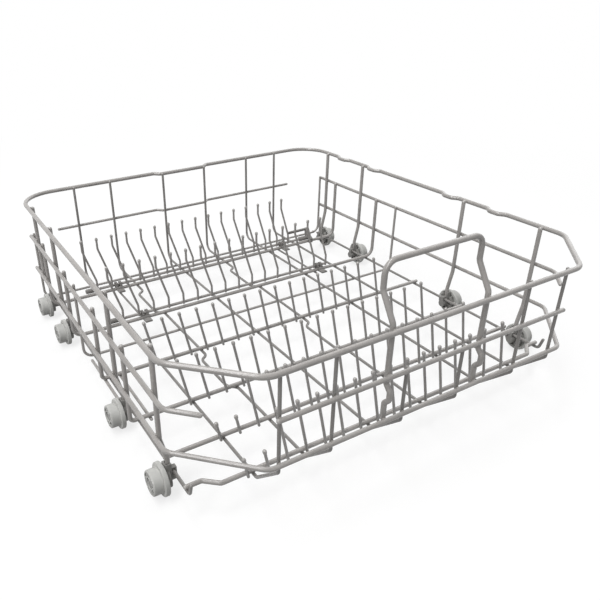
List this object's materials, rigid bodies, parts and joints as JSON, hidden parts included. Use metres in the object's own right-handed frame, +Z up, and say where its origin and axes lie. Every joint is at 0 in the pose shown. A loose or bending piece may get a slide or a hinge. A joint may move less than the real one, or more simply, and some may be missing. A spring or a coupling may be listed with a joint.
{
  "type": "dishwasher basket",
  "caption": "Lower dishwasher basket of coated wire with leaning plate tines, folding tine racks, a wire handle at the front and flanged plastic wheels along both sides.",
  "frame": {"origin": "middle of the basket on the ground under its wheels", "axes": "+X to the right seen from the front, +Y from the handle to the back, +Z up"},
  "size_m": [0.518, 0.5584, 0.2232],
  "materials": {
    "coated_wire": "satin plastic coat on steel wire",
    "wheel_plastic": "moulded, matte",
    "wheel_clip_plastic": "moulded, matte",
    "clip_plastic": "moulded, matte"
  },
  "bodies": {
    "basket": {"back_rail": "coated_wire", "cross_bar_1": "coated_wire", "cross_bar_2": "coated_wire", "cross_bar_3": "coated_wire", "cross_bar_4": "coated_wire", "cross_bar_5": "coated_wire", "cross_bar_6": "coated_wire", "cross_bar_7": "coated_wire", "cross_bar_8": "coated_wire", "edge_wire_left": "coated_wire", "edge_wire_right": "coated_wire", "floor_wire_1": "coated_wire", "floor_wire_2": "coated_wire", "floor_wire_3": "coated_wire", "floor_wire_4": "coated_wire", "floor_wire_5": "coated_wire", "floor_wire_6": "coated_wire", "front_rack_clip_left": "clip_plastic", "front_rack_clip_right": "clip_plastic", "front_rail": "coated_wire", "handle": "coated_wire", "left_spur": "coated_wire", "left_stay": "coated_wire", "lower_rail": "coated_wire", "rack_link_left": "coated_wire", "rack_link_right": "coated_wire", "rear_rack_clip_left": "clip_plastic", "rear_rack_clip_right": "clip_plastic", "side_rail_left": "coated_wire", "side_rail_right": "coated_wire", "tine_row_1": "coated_wire", "tine_row_2": "coated_wire", "tine_row_3": "coated_wire", "tine_row_4": "coated_wire", "top_rim": "coated_wire", "wheel_clip_left_1": "wheel_clip_plastic", "wheel_clip_left_2": "wheel_clip_plastic", "wheel_clip_left_3": "wheel_clip_plastic", "wheel_clip_left_4": "wheel_clip_plastic", "wheel_clip_right_1": "wheel_clip_plastic", "wheel_clip_right_2": "wheel_clip_plastic", "wheel_clip_right_3": "wheel_clip_plastic", "wheel_clip_right_4": "wheel_clip_plastic", "wheel_posts_left": "coated_wire", "wheel_posts_right": "coated_wire"},
    "front_rack": {"front_rack_cap": "clip_plastic", "front_rack_rod": "coated_wire", "front_rack_tines": "coated_wire"},
    "rear_rack": {"rear_rack_cap": "clip_plastic", "rear_rack_lever": "clip_plastic", "rear_rack_rod": "coated_wire", "rear_rack_tines": "coated_wire"},
    "wheel_left_1": {"wheel_left_1": "wheel_plastic"},
    "wheel_left_2": {"wheel_left_2": "wheel_plastic"},
    "wheel_left_3": {"wheel_left_3": "wheel_plastic"},
    "wheel_left_4": {"wheel_left_4": "wheel_plastic"},
    "wheel_right_1": {"wheel_right_1": "wheel_plastic"},
    "wheel_right_2": {"wheel_right_2": "wheel_plastic"},
    "wheel_right_3": {"wheel_right_3": "wheel_plastic"},
    "wheel_right_4": {"wheel_right_4": "wheel_plastic"}
  },
  "joints": [
    {"name": "front_rack_fold", "type": "hinge", "parent": "basket", "child": "front_rack", "pos_m": [0, 0.0954, 0.0334], "axis": [-1, 0, 0], "range_deg": [0, 60]},
    {"name": "rear_rack_fold", "type": "hinge", "parent": "basket", "child": "rear_rack", "pos_m": [0, 0.1969, 0.0334], "axis": [-1, 0, 0], "range_deg": [0, 60]},
    {"name": "wheel_left_1_spin", "type": "hinge", "parent": "basket", "child": "wheel_left_1", "pos_m": [-0.2515, -0.1865, 0.017], "axis": [1, 0, 0], "continuous": true},
    {"name": "wheel_left_2_spin", "type": "hinge", "parent": "basket", "child": "wheel_left_2", "pos_m": [-0.2515, -0.0725, 0.017], "axis": [1, 0, 0], "continuous": true},
    {"name": "wheel_left_3_spin", "type": "hinge", "parent": "basket", "child": "wheel_left_3", "pos_m": [-0.2515, 0.129, 0.017], "axis": [1, 0, 0], "continuous": true},
    {"name": "wheel_left_4_spin", "type": "hinge", "parent": "basket", "child": "wheel_left_4", "pos_m": [-0.2515, 0.2175, 0.017], "axis": [1, 0, 0], "continuous": true},
    {"name": "wheel_right_1_spin", "type": "hinge", "parent": "basket", "child": "wheel_right_1", "pos_m": [0.2515, -0.1865, 0.017], "axis": [1, 0, 0], "continuous": true},
    {"name": "wheel_right_2_spin", "type": "hinge", "parent": "basket", "child": "wheel_right_2", "pos_m": [0.2515, -0.0725, 0.017], "axis": [1, 0, 0], "continuous": true},
    {"name": "wheel_right_3_spin", "type": "hinge", "parent": "basket", "child": "wheel_right_3", "pos_m": [0.2515, 0.129, 0.017], "axis": [1, 0, 0], "continuous": true},
    {"name": "wheel_right_4_spin", "type": "hinge", "parent": "basket", "child": "wheel_right_4", "pos_m": [0.2515, 0.2175, 0.017], "axis": [1, 0, 0], "continuous": true}
  ]
}
